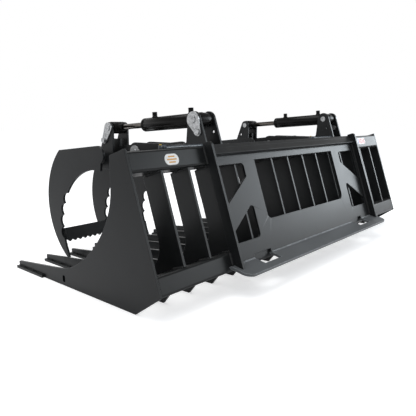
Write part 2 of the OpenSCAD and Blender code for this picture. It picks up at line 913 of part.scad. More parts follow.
module tooth_plates(side) {
    w = claw_pitch - claw_t;
    y = y_shift - claw_tip_run - tooth_plate_lead;
    color(paint) arm_side(side)
        for (place = [-1, 0])
            translate([arm_x + place * claw_pitch + claw_t / 2, y, tooth_plate_z])
                rotate([tooth_plate_tilt, 0, 0])
                translate([0, tooth_plate_t / 2, -tooth_plate_h / 2])
                rotate([90, 0, 0]) linear_extrude(tooth_plate_t) tooth_plate_face(w);
}

// Cylinders: z of this frame runs from the base pin to the rod pin, x is across the width
module ram_frame(side) {
    arm_side(side)
        translate([arm_x, y_shift + tower[0], tower[1]]) rotate([90 + ram_angle, 0, 0]) children();
}

module eye(r, half, at) {
    translate([-half, 0, at]) rotate([0, 90, 0]) cylinder(r = r, h = 2 * half);
}

tube_end = barrel_len - gland_len;
tube_len = tube_end - barrel_start;

module at_ports() {
    for (s = [port_rear, port_front]) translate([0, 0, s]) rotate([-90, 0, 0]) children();
}

module barrel(side) {
    color(dark_steel) ram_frame(side) difference() {
        union() {
            translate([0, 0, barrel_start]) cylinder(r = barrel_r, h = tube_len);
            at_ports() cylinder(r = port_r, h = port_h);
        }
        translate([0, 0, barrel_start - cut_over]) cylinder(r = bore_r, h = tube_len + 2 * cut_over);
        at_ports() cylinder(r = port_hole_r, h = port_h + cut_over);
    }
}

module base_eye(side) {
    color(dark_steel) ram_frame(side) difference() {
        union() {
            eye(eye_r, hub_half, 0);
            cylinder(r = barrel_r, h = barrel_start);
        }
        eye(pin_r + fit_gap, fork_half, 0);
    }
}

module gland(side) {
    color(dark_steel) ram_frame(side) difference() {
        union() {
            translate([0, 0, tube_end]) cylinder(r = barrel_r, h = gland_len - gland_chamfer);
            translate([0, 0, barrel_len - gland_chamfer])
                cylinder(r1 = barrel_r, r2 = barrel_r - gland_chamfer, h = gland_chamfer);
        }
        translate([0, 0, tube_end - cut_over]) cylinder(r = rod_r + fit_gap, h = gland_len + 2 * cut_over);
    }
}

// The piston stops short of the gland by the side clearance
piston_at = tube_end - piston_len - side_gap;

module rod(side) {
    color(bright_steel) ram_frame(side) {
        translate([0, 0, piston_at]) cylinder(r = bore_r - fit_gap, h = piston_len);
        translate([0, 0, piston_at]) cylinder(r = rod_r, h = pin_span - eye_neck_len - piston_at);
    }
}

module rod_eye(side) {
    half = fork_half - 2 * side_gap;
    color(dark_steel) ram_frame(side) difference() {
        union() {
            eye(eye_r, half, pin_span);
            translate([0, 0, pin_span - eye_neck_len]) cylinder(r = eye_neck_r, h = eye_neck_len);
        }
        eye(rod_eye_r, fork_half, pin_span);
    }
}

side_plate(1);  // side_plate_left
side_plate(-1);  // side_plate_right
tine(1);  // tine_1
tine(2);  // tine_2
tine(3);  // tine_3
tine(4);  // tine_4
tine(5);  // tine_5
tine(6);  // tine_6
tine(7);  // tine_7
tine(8);  // tine_8
tine(9);  // tine_9
tine(10);  // tine_10
tine(11);  // tine_11
tine(12);  // tine_12
tine(13);  // tine_13
tine(14);  // tine_14
tip_bars();
cross_bar();
top_beam();
bottom_beam();
hitch_plate();
hitch_lip();
hitch_ledge();
hitch_gussets();
brackets(1);  // left_brackets
brackets(-1);  // right_brackets
tower_pins();
pivot_pins();
frame_retainers();
frame_bolts();
beam_lines();
line_caps();
end_claw(1, 1);  // left_claw_outer
centre_claw(1);  // left_claw_centre
end_claw(1, -1);  // left_claw_inner
tooth_plates(1);  // left_tooth_plates
cross_tube_piece(1);  // left_cross_tube
hub(1);  // left_hub
lugs(1);  // left_lugs
rod_pin(1);  // left_rod_pin
lug_keeper(1);  // left_lug_keeper
barrel(1);  // left_barrel
base_eye(1);  // left_base_eye
gland(1);  // left_gland
rod(1);  // left_rod
rod_eye(1);  // left_rod_eye
end_claw(-1, 1);  // right_claw_outer
centre_claw(-1);  // right_claw_centre
end_claw(-1, -1);  // right_claw_inner
tooth_plates(-1);  // right_tooth_plates
cross_tube_piece(-1);  // right_cross_tube
hub(-1);  // right_hub
lugs(-1);  // right_lugs
rod_pin(-1);  // right_rod_pin
lug_keeper(-1);  // right_lug_keeper
barrel(-1);  // right_barrel
base_eye(-1);  // right_base_eye
gland(-1);  // right_gland
rod(-1);  // right_rod
rod_eye(-1);  // right_rod_eye
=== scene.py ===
"""Brush grapple: finishes, weld beads, small fittings and a studio stage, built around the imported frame."""

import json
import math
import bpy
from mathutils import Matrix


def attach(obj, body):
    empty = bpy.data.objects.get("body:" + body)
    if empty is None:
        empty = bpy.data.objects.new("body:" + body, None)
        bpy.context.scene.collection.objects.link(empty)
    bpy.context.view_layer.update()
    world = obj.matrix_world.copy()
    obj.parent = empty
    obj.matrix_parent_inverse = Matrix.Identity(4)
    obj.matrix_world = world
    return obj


bl_info = {
    "name": "Brush grapple",
    "version": (1, 0, 0),
    "blender": (4, 5, 0),
    "location": "3D View > Sidebar > Grapple",
    "description": "Finishes, weld beads, fittings and a studio stage for a skid-steer brush grapple",
    "category": "Object",
}

import bmesh
import bpy
from mathutils import Matrix, Vector

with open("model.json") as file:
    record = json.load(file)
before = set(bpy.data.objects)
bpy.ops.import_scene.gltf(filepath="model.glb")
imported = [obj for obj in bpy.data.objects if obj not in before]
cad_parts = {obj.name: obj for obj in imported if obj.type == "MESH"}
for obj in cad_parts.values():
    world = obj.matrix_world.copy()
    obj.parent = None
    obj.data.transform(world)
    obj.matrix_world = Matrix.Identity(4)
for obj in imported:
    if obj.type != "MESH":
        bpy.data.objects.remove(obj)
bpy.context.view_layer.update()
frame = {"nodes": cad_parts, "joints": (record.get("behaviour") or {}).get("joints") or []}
NODES = frame["nodes"]

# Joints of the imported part: how far out the arms stand, and side view places as (y, z)
JOINT_PLACES = {joint["name"]: joint["pos_m"] for joint in frame["joints"] if "pos_m" in joint}
ARM_X, *ARM_PIVOT = JOINT_PLACES["left_arm_open"]
BASE_PIN = JOINT_PLACES["left_cylinder_swing"][1:]

# Sizes of the frame, in metres, as in the part's source; beams and bars are (depth, height)
WIDTH = 1.829
TINE_COUNT = 14
PLATE = 0.010
BACK_TILT = math.radians(18.6)
BACK_LEN = 0.443
BACK_FOOT = (0.114, 0.0795)
TINE_HEEL_DROP = 0.4253
TOP_BEAM = (0.074, 0.068)
LOW_BEAM = (0.050, 0.066)
CROSS_BAR = (0.014, 0.022)
TIP_BAR_T = 0.010
HITCH_T = 0.010
HITCH_HALF = 0.560
HITCH_DROP = 0.425
LEDGE_FALL = math.radians(11)
LATCH = (0.345, 0.455)
TINE_PITCH = (WIDTH - PLATE) / (TINE_COUNT + 1)
SIDE_X = (WIDTH - PLATE) / 2

# Sizes of the arms and cylinders; distances along a cylinder start at its base pin
PIVOT_RUN = 0.435
FORK_HALF = 0.035
CLAW_PITCH = 0.227
CROSS_TUBE_R = 0.030
HUB_R = 0.027
TOOTH_PLATE_TILT = math.radians(15)
BARREL_R = 0.027
BARREL_START = 0.038
GLAND_FRONT = 0.318
ROD_R = 0.012
EYE_NECK_LEN = 0.044
PORT_R = 0.010
PORT_HOLE_R = 0.007
PORT_TOP = 0.047
PORTS = (0.052, 0.251)

# The source counts runs towards the tine noses from its own zero, which lies here
SOURCE_ZERO = ARM_PIVOT[0] + PIVOT_RUN
BACK_TOP = (SOURCE_ZERO + BACK_FOOT[0] - BACK_LEN * math.sin(BACK_TILT),
            BACK_FOOT[1] + BACK_LEN * math.cos(BACK_TILT))
CROSS_BAR_MIDDLE = (SOURCE_ZERO - 0.392, 0.024)
CROSS_TUBE = (SOURCE_ZERO - 0.690, 0.415)
ROD_PIN = (SOURCE_ZERO - 0.606, 0.552)
TOOTH_PLATE = (SOURCE_ZERO - 0.705, 0.096)

ACROSS = Vector((1, 0, 0))
REAR = Vector((0, math.cos(BACK_TILT), math.sin(BACK_TILT)))
UP_BACK = Vector((0, -math.sin(BACK_TILT), math.cos(BACK_TILT)))
FORWARD = Vector((0, -1, 0))
UP = Vector((0, 0, 1))


class GrappleFinishes(bpy.types.PropertyGroup):
    """Colours and gloss of the finishes."""

    paint: bpy.props.FloatVectorProperty(
        name="Powder coat", description="Colour of the frame and the arms",
        subtype="COLOR", size=3, min=0, max=1, default=(0.0105, 0.0115, 0.012))
    paint_gloss: bpy.props.FloatProperty(
        name="Powder coat roughness", description="How soft the reflections of the frame are",
        subtype="FACTOR", min=0, max=1, default=0.3)
    paint_shine: bpy.props.FloatProperty(
        name="Powder coat shine", description="How strong the reflections of the frame are",
        subtype="FACTOR", min=0, max=1, default=0.3)
    # Painted sheen: the ledge's coat is lighter than the frame's, standing in for the light the ledge catches
    # from above
    scuffed: bpy.props.FloatVectorProperty(
        name="Scuffed coat", description="Colour of the ledge, which the coupler rubs",
        subtype="COLOR", size=3, min=0, max=1, default=(0.1, 0.106, 0.11))
    enamel: bpy.props.FloatVectorProperty(
        name="Cylinder enamel", description="Colour of the barrels, eyes and glands",
        subtype="COLOR", size=3, min=0, max=1, default=(0.008, 0.0078, 0.0075))
    zinc: bpy.props.FloatVectorProperty(
        name="Zinc plate", description="Colour of the pins, retainers and bolts",
        subtype="COLOR", size=3, min=0, max=1, default=(0.58, 0.59, 0.6))
    chrome: bpy.props.FloatVectorProperty(
        name="Hard chrome", description="Colour of the rods",
        subtype="COLOR", size=3, min=0, max=1, default=(0.16, 0.145, 0.13))
    line: bpy.props.FloatVectorProperty(
        name="Line coat", description="Colour of the steel lines on the top beam",
        subtype="COLOR", size=3, min=0, max=1, default=(0.055, 0.066, 0.078))
    cap: bpy.props.FloatVectorProperty(
        name="Cap plastic", description="Colour of the caps on the steel lines",
        subtype="COLOR", size=3, min=0, max=1, default=(0.74, 0.5, 0.07))
    rubber: bpy.props.FloatVectorProperty(
        name="Rubber", description="Colour of the rod wipers and port plugs",
        subtype="COLOR", size=3, min=0, max=1, default=(0.012, 0.012, 0.012))
    film: bpy.props.FloatVectorProperty(
        name="Label film", description="Ground colour of the plain labels",
        subtype="COLOR", size=3, min=0, max=1, default=(0.72, 0.72, 0.7))
    amber: bpy.props.FloatVectorProperty(
        name="Amber bars", description="Colour of the bars on the near label",
        subtype="COLOR", size=3, min=0, max=1, default=(0.55, 0.28, 0.05))
    red: bpy.props.FloatVectorProperty(
        name="Red bars", description="Colour of most bars on the far label",
        subtype="COLOR", size=3, min=0, max=1, default=(0.55, 0.09, 0.09))
    blue: bpy.props.FloatVectorProperty(
        name="Blue bar", description="Colour of the first bar on the far label",
        subtype="COLOR", size=3, min=0, max=1, default=(0.06, 0.1, 0.32))


class GrappleDetails(bpy.types.PropertyGroup):
    """Sizes of the small details."""

    edge_round: bpy.props.FloatProperty(
        name="Edge rounding", description="Radius at the edges of the cut plates",
        unit="LENGTH", min=0.0002, max=0.003, default=0.0012)
    cylinder_round: bpy.props.FloatProperty(
        name="Cylinder rounding", description="Radius at the edges of the barrels, glands and eyes",
        unit="LENGTH", min=0.0002, max=0.003, default=0.0007)
    rod_round: bpy.props.FloatProperty(
        name="Rod rounding", description="Radius at the edges of the rods",
        unit="LENGTH", min=0.0002, max=0.003, default=0.0005)
    pin_round: bpy.props.FloatProperty(
        name="Pin rounding", description="Radius at the edges of the pins, retainers and bolts",
        unit="LENGTH", min=0.0002, max=0.003, default=0.0008)
    line_round: bpy.props.FloatProperty(
        name="Line rounding", description="Radius at the edges of the steel lines",
        unit="LENGTH", min=0.0002, max=0.003, default=0.0006)
    cap_round: bpy.props.FloatProperty(
        name="Cap rounding", description="Radius at the edges of the caps",
        unit="LENGTH", min=0.0002, max=0.003, default=0.001)
    weld_leg: bpy.props.FloatProperty(
        name="Weld leg", description="Leg of the fillet welds",
        unit="LENGTH", min=0.002, max=0.01, default=0.0055)
    weld_pitch: bpy.props.FloatProperty(
        name="Weld ripple", description="Distance between the ripples of a weld",
        unit="LENGTH", min=0.002, max=0.01, default=0.0042)
    wiper_width: bpy.props.FloatProperty(
        name="Rod wiper width", description="How wide the rod wiper is around the rod",
        unit="LENGTH", min=0.002, max=0.006, default=0.0042)
    near_label: bpy.props.FloatVectorProperty(
        name="Near label", description="Width and height of the near label",
        unit="LENGTH", size=2, min=0.02, max=0.1, default=(0.062, 0.036))
    far_label: bpy.props.FloatVectorProperty(
        name="Far label", description="Width and height of the far label",
        unit="LENGTH", size=2, min=0.02, max=0.12, default=(0.098, 0.033))
    film_thickness: bpy.props.FloatProperty(
        name="Label thickness", description="Thickness of the label film",
        unit="LENGTH", min=0.0001, max=0.001, default=0.0003)


class GrappleStage(bpy.types.PropertyGroup):
    """Camera, lamps and floor."""

    camera_place: bpy.props.FloatVectorProperty(
        name="Camera place", description="Where the camera stands",
        subtype="TRANSLATION", size=3, default=(1.7902, 1.36987, 0.5940))
    camera_turn: bpy.props.FloatVectorProperty(
        name="Camera turn", description="Rotation of the camera",
        subtype="EULER", size=3,
        default=(math.radians(79.182), 0.0, math.radians(131.242)))
    lens: bpy.props.FloatProperty(
        name="Lens", description="Focal length in millimetres on a 36 mm sensor",
        min=10, max=200, default=40.82)
    top_power: bpy.props.FloatProperty(
        name="Top lamp", description="Power of the large lamp above",
        unit="POWER", min=0, max=1000, default=60)
    side_power: bpy.props.FloatProperty(
        name="Side lamp", description="Power of the wide lamp behind, at the far side",
        unit="POWER", min=0, max=1000, default=34)
    far_power: bpy.props.FloatProperty(
        name="Far lamp", description="Power of the smaller lamp beyond the far end",
        unit="POWER", min=0, max=1000, default=27)
    dome_shade: bpy.props.FloatProperty(
        name="Dome shade", description="How bright the studio looks overhead in reflections; 1 is white",
        subtype="FACTOR", min=0, max=1, default=0.2)
    floor_glow: bpy.props.FloatProperty(
        name="Floor glow", description="How much white the floor adds where the camera sees it",
        subtype="FACTOR", min=0, max=1, default=0.52)
    floor: bpy.props.FloatVectorProperty(
        name="Floor", description="Colour of the floor",
        subtype="COLOR", size=3, min=0, max=1, default=(0.82, 0.82, 0.82))


DUST_COLOR = (0.1, 0.098, 0.092)


# Shader node groups that several finishes share


def group(name, inputs, outputs):
    """A new shader node group with float inputs (name, default) and outputs (name, kind)."""
    tree = bpy.data.node_groups.new(name, "ShaderNodeTree")
    for label, value in inputs:
        socket = tree.interface.new_socket(label, in_out="INPUT", socket_type="NodeSocketFloat")
        socket.default_value = value
    for label, kind in outputs:
        tree.interface.new_socket(label, in_out="OUTPUT", socket_type=kind)
    return tree, tree.nodes.new("NodeGroupInput"), tree.nodes.new("NodeGroupOutput")


def put(tree, kind, values=None, links=None, **options):
    """A node of one kind, with its options, socket values and incoming links set."""
    node = tree.nodes.new(kind)
    for key, value in options.items():
        setattr(node, key, value)
    for key, value in (values or {}).items():
        node.inputs[key].default_value = value
    for key, socket in (links or {}).items():
        tree.links.new(socket, node.inputs[key])
    return node


def noise(tree, where, scale, detail=3.0, rough=0.5):
    """Fractal noise on the object's own coordinates, as a socket."""
    node = put(tree, "ShaderNodeTexNoise", {"Detail": detail, "Roughness": rough}, {"Vector": where})
    if isinstance(scale, (int, float)):
        node.inputs["Scale"].default_value = scale
    else:
        tree.links.new(scale, node.inputs["Scale"])
    return node.outputs["Fac"]


def ramp(tree, socket, low, high):
    """Maps low..high of a socket to 0..1."""
    node = put(tree, "ShaderNodeMapRange", {"From Min": low, "From Max": high}, {"Value": socket})
    node.clamp = True
    return node.outputs["Result"]


def times(tree, a, b):
    """Product of a socket and a socket or number."""
    node = put(tree, "ShaderNodeMath", links={0: a}, operation="MULTIPLY")
    if isinstance(b, (int, float)):
        node.inputs[1].default_value = b
    else:
        tree.links.new(b, node.inputs[1])
    return node.outputs[0]


def edge_wear_group():
    """Mask that is 1 along outer edges, broken up by noise."""
    tree, inward, outward = group(
        "grapple_edge_wear", [("Width", 0.003), ("Breakup", 60.0)], [("Mask", "NodeSocketFloat")])
    here = put(tree, "ShaderNodeTexCoord").outputs["Object"]
    geometry = put(tree, "ShaderNodeNewGeometry")
    soft = put(tree, "ShaderNodeBevel", links={"Radius": inward.outputs["Width"]}, samples=6)
    match = put(tree, "ShaderNodeVectorMath",
                links={0: soft.outputs["Normal"], 1: geometry.outputs["Normal"]},
                operation="DOT_PRODUCT")
    turned = ramp(tree, match.outputs["Value"], 0.995, 0.8)
    spots = ramp(tree, noise(tree, here, inward.outputs["Breakup"]), 0.3, 0.62)
    tree.links.new(times(tree, turned, spots), outward.inputs["Mask"])
    return tree


def coat_texture_group():
    """Height of the fine orange peel of sprayed paint, and its slow cloudiness."""
    tree, inward, outward = group(
        "grapple_coat_texture", [("Peel", 420.0), ("Cloud", 7.0)],
        [("Height", "NodeSocketFloat"), ("Clouds", "NodeSocketFloat")])
    here = put(tree, "ShaderNodeTexCoord").outputs["Object"]
    peel = noise(tree, here, inward.outputs["Peel"], detail=2.0)
    clouds = ramp(tree, noise(tree, here, inward.outputs["Cloud"], detail=4.0), 0.25, 0.75)
    tree.links.new(peel, outward.inputs["Height"])
    tree.links.new(clouds, outward.inputs["Clouds"])
    return tree


def dust_group():
    """Mask of faint dust that settles on faces that look up."""
    tree, inward, outward = group("grapple_dust", [("Amount", 0.25)], [("Mask", "NodeSocketFloat")])
    here = put(tree, "ShaderNodeTexCoord").outputs["Object"]
    geometry = put(tree, "ShaderNodeNewGeometry")
    parts = put(tree, "ShaderNodeSeparateXYZ", links={"Vector": geometry.outputs["Normal"]})
    facing = ramp(tree, parts.outputs["Z"], 0.2, 1.0)
    spots = ramp(tree, noise(tree, here, 23.0, detail=6.0, rough=0.65), 0.35, 0.8)
    tree.links.new(times(tree, times(tree, facing, spots), inward.outputs["Amount"]),
                   outward.inputs["Mask"])
    return tree


def brushed_group():
    """Fine lines around the axis across the width, and the grains and clouds of plated metal."""
    tree, inward, outward = group(
        "grapple_brushed", [("Fineness", 900.0)],
        [("Height", "NodeSocketFloat"), ("Shade", "NodeSocketFloat")])
    here = put(tree, "ShaderNodeTexCoord").outputs["Object"]
    wide = put(tree, "ShaderNodeVectorMath", {1: (1.0, 0.06, 0.06)}, {0: here}, operation="MULTIPLY")
    lines = noise(tree, wide.outputs["Vector"], inward.outputs["Fineness"], detail=2.0)
    grains = put(tree, "ShaderNodeTexVoronoi", {"Scale": 210.0, "Randomness": 1.0}, {"Vector": here})
    grain = put(tree, "ShaderNodeSeparateColor", links={"Color": grains.outputs["Color"]})
    clouds = ramp(tree, noise(tree, here, 45.0, detail=5.0), 0.25, 0.8)
    shade = put(tree, "ShaderNodeMix", {"Factor": 0.5}, data_type="FLOAT")
    tree.links.new(clouds, shade.inputs[2])
    tree.links.new(grain.outputs["Red"], shade.inputs[3])
    tree.links.new(lines, outward.inputs["Height"])
    tree.links.new(shade.outputs[0], outward.inputs["Shade"])
    return tree


def effect(tree, name, values):
    """Places a shared node group in a material."""
    node = put(tree, "ShaderNodeGroup", node_tree=bpy.data.node_groups[name])
    for key, value in values.items():
        node.inputs[key].default_value = value
    return node


def blank_material(name):
    """A material with a bare Principled shader, and its tree and shader."""
    material = bpy.data.materials.new(name)
    material.use_nodes = True
    tree = material.node_tree
    return material, tree, tree.nodes["Principled BSDF"]


def mixed(tree, mask, low, high):
    """Colour that goes from low to high by a mask; each end is a socket or a colour."""
    node = put(tree, "ShaderNodeMix", data_type="RGBA")
    for index, end in ((6, low), (7, high)):
        if isinstance(end, bpy.types.NodeSocket):
            tree.links.new(end, node.inputs[index])
        else:
            node.inputs[index].default_value = (*end, 1.0)
    tree.links.new(mask, node.inputs[0])
    return node.outputs[2]


def scaled(color, factor):
    """A colour made lighter or darker."""
    return tuple(min(1.0, factor * value) for value in color)


def bump(tree, height, shader, depth, strength):
    """Fine relief on a shader."""
    node = put(tree, "ShaderNodeBump", {"Strength": strength, "Distance": depth}, {"Height": height})
    tree.links.new(node.outputs["Normal"], shader.inputs["Normal"])


def paint_material(name, color, roughness, peel=420.0, dust=0.22, wear=0.003, shine=0.5):
    """Sprayed satin paint: orange peel, slow clouds, lighter worn edges and a little dust."""
    material, tree, shader = blank_material(name)
    coat = effect(tree, "grapple_coat_texture", {"Peel": peel, "Cloud": 7.0})
    edges = effect(tree, "grapple_edge_wear", {"Width": wear, "Breakup": 60.0})
    settled = effect(tree, "grapple_dust", {"Amount": dust})
    base = mixed(tree, coat.outputs["Clouds"], scaled(color, 0.82), scaled(color, 1.2))
    worn = mixed(tree, edges.outputs["Mask"], base, scaled(color, 5.0))
    dusty = mixed(tree, settled.outputs["Mask"], worn, DUST_COLOR)
    tree.links.new(dusty, shader.inputs["Base Color"])
    rough = put(tree, "ShaderNodeMapRange",
                {"To Min": roughness - 0.03, "To Max": roughness + 0.05},
                {"Value": coat.outputs["Clouds"]})
    tree.links.new(rough.outputs["Result"], shader.inputs["Roughness"])
    shader.inputs["Specular IOR Level"].default_value = shine
    bump(tree, coat.outputs["Height"], shader, 0.0003, 0.12)
    return material


def metal_material(name, color, roughness, fineness, depth):
    """Bright metal with fine turned lines and cloudy shade."""
    material, tree, shader = blank_material(name)
    lines = effect(tree, "grapple_brushed", {"Fineness": fineness})
    base = mixed(tree, lines.outputs["Shade"], scaled(color, 0.5), scaled(color, 1.25))
    tree.links.new(base, shader.inputs["Base Color"])
    rough = put(tree, "ShaderNodeMapRange",
                {"To Min": roughness + 0.1, "To Max": roughness},
                {"Value": lines.outputs["Shade"]})
    tree.links.new(rough.outputs["Result"], shader.inputs["Roughness"])
    shader.inputs["Metallic"].default_value = 1.0
    bump(tree, lines.outputs["Height"], shader, depth, 0.25)
    return material


def plastic_material(name, color, roughness):
    """Moulded plastic or rubber with a fine grain and slight clouds."""
    material, tree, shader = blank_material(name)
    coat = effect(tree, "grapple_coat_texture", {"Peel": 900.0, "Cloud": 30.0})
    base = mixed(tree, coat.outputs["Clouds"], scaled(color, 0.88), scaled(color, 1.08))
    tree.links.new(base, shader.inputs["Base Color"])
    shader.inputs["Roughness"].default_value = roughness
    bump(tree, coat.outputs["Height"], shader, 0.0002, 0.2)
    return material


def finishes():
    """All materials by the name that the pieces use."""
    look = bpy.context.scene.grapple_finishes
    if not bpy.data.node_groups.get("grapple_edge_wear"):
        edge_wear_group()
        coat_texture_group()
        dust_group()
        brushed_group()
    makers = {
        "powder_coat": lambda n: paint_material(n, look.paint, look.paint_gloss, shine=look.paint_shine),
        # Painted sheen: a lighter coat for the ledge and its weld, standing in for light from above
        "scuffed_coat": lambda n: paint_material(
            n, look.scuffed, look.paint_gloss, dust=0.1, shine=look.paint_shine),
        "cylinder_enamel": lambda n: paint_material(
            n, look.enamel, roughness=0.2, peel=250.0, dust=0.05, wear=0.002, shine=0.12),
        # Near-black paint without shine, used as painted shade over the flush cross bar ends
        "dark_recess": lambda n: paint_material(
            n, scaled(look.paint, 0.3), roughness=0.7, dust=0.0, wear=0.001, shine=0.0),
        "line_coat": lambda n: paint_material(
            n, look.line, roughness=0.28, peel=500.0, dust=0.2, wear=0.001),
        "zinc_plate": lambda n: metal_material(n, look.zinc, roughness=0.3, fineness=900.0, depth=0.0001),
        "hard_chrome": lambda n: metal_material(
            n, look.chrome, roughness=0.04, fineness=2500.0, depth=0.00002),
        "cap_plastic": lambda n: plastic_material(n, look.cap, roughness=0.4),
        "rubber": lambda n: plastic_material(n, look.rubber, roughness=0.55),
        "label_film": lambda n: plastic_material(n, look.film, roughness=0.35),
        "label_amber": lambda n: plastic_material(n, look.amber, roughness=0.35),
        "label_red": lambda n: plastic_material(n, look.red, roughness=0.35),
        "label_blue": lambda n: plastic_material(n, look.blue, roughness=0.35),
    }
    return {name: bpy.data.materials.get(name) or maker(name) for name, maker in makers.items()}


def dress(names, finish, width):
    """Gives CAD nodes a finish, and rounds their cut edges by a width."""
    material = finishes()[finish]
    for name in names:
        node = NODES[name]
        for slot in node.material_slots:
            slot.material = material
        weld = node.modifiers.new("join_faces", "WELD")
        weld.merge_threshold = 0.00001
        soft = node.modifiers.new("soft_edges", "BEVEL")
        soft.width = width
        soft.segments = 2
        soft.limit_method = "ANGLE"
        soft.angle_limit = math.radians(35)
        soft.harden_normals = True
        soft.use_clamp_overlap = True


# Shapes in the frame's own directions


def on_back(x, a, b):
    """Point at x, a behind the back and b up along it from its top."""
    return Vector((x, BACK_TOP[0], BACK_TOP[1])) + a * REAR + b * UP_BACK


def at(x, place):
    """Point at x over a side view place."""
    return Vector((x, place[0], place[1]))


def ram_axes():
    """Directions along a cylinder to its rod pin, and up from it."""
    along = (at(0, ROD_PIN) - at(0, BASE_PIN)).normalized()
    return along, along.cross(ACROSS).normalized()


def add_bead(mesh, path, first, second, leg, closed=False):
    """A rippled fillet weld along a path of corner points; first and second point along the two faces."""
    pitch = bpy.context.scene.grapple_details.weld_pitch
    shape = ((-0.08, -0.08), (1.0, -0.05), (0.84, 0.34), (0.58, 0.58), (0.34, 0.84), (-0.05, 1.0))
    rings = []
    run = 0.0
    for index, corner in enumerate(path):
        if index:
            run += (corner - path[index - 1]).length
        size = leg * (1.0 + 0.12 * math.cos(2 * math.pi * run / pitch))
        rings.append([
            mesh.verts.new(corner + size * (u * first[index] + v * second[index])) for u, v in shape])
    count = len(shape)
    last = len(rings) if closed else len(rings) - 1
    for i in range(last):
        here, there = rings[i], rings[(i + 1) % len(rings)]
        for j in range(count):
            k = (j + 1) % count
            mesh.faces.new((here[j], here[k], there[k], there[j]))
    if not closed:
        mesh.faces.new(rings[0][::-1])
        mesh.faces.new(rings[-1])


def straight_bead(mesh, start, end, first, second, leg):
    """A fillet weld on a straight corner."""
    step = bpy.context.scene.grapple_details.weld_pitch / 3
    count = max(3, round((end - start).length / step))
    path = [start.lerp(end, i / count) for i in range(count + 1)]
    add_bead(mesh, path, [first] * len(path), [second] * len(path), leg)


def ring_bead(mesh, centre, axis, radius, leg):
    """A fillet weld around a round bar; axis points away from the plate."""
    step = bpy.context.scene.grapple_details.weld_pitch
    ripples = round(2 * math.pi * radius / step)
    count = 3 * ripples
    side = axis.orthogonal().normalized()
    outward = [Matrix.Rotation(2 * math.pi * i / count, 3, axis) @ side for i in range(count)]
    path = [centre + radius * way for way in outward]
    add_bead(mesh, path, outward, [axis] * count, leg, closed=True)


def finish_piece(mesh, name, body, finish, smooth=True):
    """Makes an object of a built mesh, gives it a finish and lets it ride on a body."""
    bmesh.ops.recalc_face_normals(mesh, faces=mesh.faces)
    data = bpy.data.meshes.new(name)
    mesh.to_mesh(data)
    mesh.free()
    for polygon in data.polygons:
        polygon.use_smooth = smooth
    piece = bpy.data.objects.new(name, data)
    bpy.context.scene.collection.objects.link(piece)
    for each in ([finish] if isinstance(finish, str) else finish):
        data.materials.append(finishes()[each])
    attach(piece, body)
    return piece


def plate_places():
    """Middle of each upright plate across the width: a side plate, the tines, the other side plate."""
    return [SIDE_X - number * TINE_PITCH for number in range(TINE_COUNT + 2)]


def faces_of(x, inner_only=False):
    """The faces of a plate at x, as (place, direction away from the plate)."""
    both = [(x + way * PLATE / 2, way * ACROSS) for way in (-1, 1)]
    if inner_only:
        return [pair for pair in both if pair[1].x * x < 0]
    return both


class GRAPPLE_OT_frame(bpy.types.Operator):
    """Finish the side plates, tines, beams, hitch plate and brackets"""

    bl_idname = "grapple.frame"
    bl_label = "Frame finish"

    def execute(self, context):
        width = context.scene.grapple_details.edge_round
        tines = [f"tine_{number + 1}" for number in range(TINE_COUNT)]
        dress(["side_plate_left", "side_plate_right", *tines, "tip_bars", "cross_bar",
               "top_beam", "bottom_beam", "hitch_plate", "hitch_lip", "hitch_gussets",
               "left_brackets", "right_brackets"], "powder_coat", width)
        # The ledge gets the lighter coat, a painted sheen for the light from above
        dress(["hitch_ledge"], "scuffed_coat", width)
        return {"FINISHED"}


class GRAPPLE_OT_arms(bpy.types.Operator):
    """Finish the claws, serrated plates, cross tubes, hubs and lugs"""

    bl_idname = "grapple.arms"
    bl_label = "Arm finish"

    def execute(self, context):
        parts = ("claw_outer", "claw_centre", "claw_inner", "tooth_plates", "cross_tube", "hub", "lugs")
        dress([f"{side}_{part}" for side in ("left", "right") for part in parts], "powder_coat",
              context.scene.grapple_details.edge_round)
        return {"FINISHED"}


class GRAPPLE_OT_cylinders(bpy.types.Operator):
    """Finish the barrels, eyes and glands in enamel and the rods in chrome"""

    bl_idname = "grapple.cylinders"
    bl_label = "Cylinder finish"

    def execute(self, context):
        sizes = context.scene.grapple_details
        for side in ("left", "right"):
            dress([f"{side}_{part}" for part in ("barrel", "base_eye", "gland", "rod_eye")],
                  "cylinder_enamel", sizes.cylinder_round)
            dress([f"{side}_rod"], "hard_chrome", sizes.rod_round)
        return {"FINISHED"}


class GRAPPLE_OT_pins(bpy.types.Operator):
    """Finish the pins, retainers and bolts in zinc"""

    bl_idname = "grapple.pins"
    bl_label = "Pin finish"

    def execute(self, context):
        dress(["tower_pins", "pivot_pins", "frame_retainers", "frame_bolts", "left_rod_pin",
               "right_rod_pin", "left_lug_keeper", "right_lug_keeper"], "zinc_plate",
              context.scene.grapple_details.pin_round)
        return {"FINISHED"}


class GRAPPLE_OT_lines(bpy.types.Operator):
    """Finish the steel lines on the top beam and their caps"""

    bl_idname = "grapple.lines"
    bl_label = "Line finish"

    def execute(self, context):
        sizes = context.scene.grapple_details
        dress(["beam_lines"], "line_coat", sizes.line_round)
        dress(["line_caps"], "cap_plastic", sizes.cap_round)
        return {"FINISHED"}


# Where the frame's welds run; insets are what they stop short of a corner
WELD_INSET = 0.003
END_INSET = 0.004
HEEL_INSET = 0.002
BAR_WELD_INSET = 0.0015
TIP_WELD_STARTS = (-0.405, -0.335, -0.268)
TIP_WELD_LEN = 0.036
GUSSET_WELD = (-0.420, -0.012)
GUSSET_OUTER_WELDS = ((-0.066, -0.003), (-0.424, -0.379))
BRACKET_TOP_WELD = (-0.072, -0.021)
BRACKET_FRONT_WELD = (-0.002, -0.064)
STITCH_PITCH = 0.13
STITCH_HALF = 0.025
STITCH_LEG = 0.0028
STITCH_CLEARANCE = 0.085

# Welds of the serrated plates and of the cylinders
TOOTH_WELD = (-0.018, 0.029)
BASE_WELD_SINK = 0.0004
BASE_WELD_LEG = 0.0022
PORT_WELD_LEG = 0.003
PORT_WELD_STEPS = 48
ROD_WELD_LEG = 0.0032


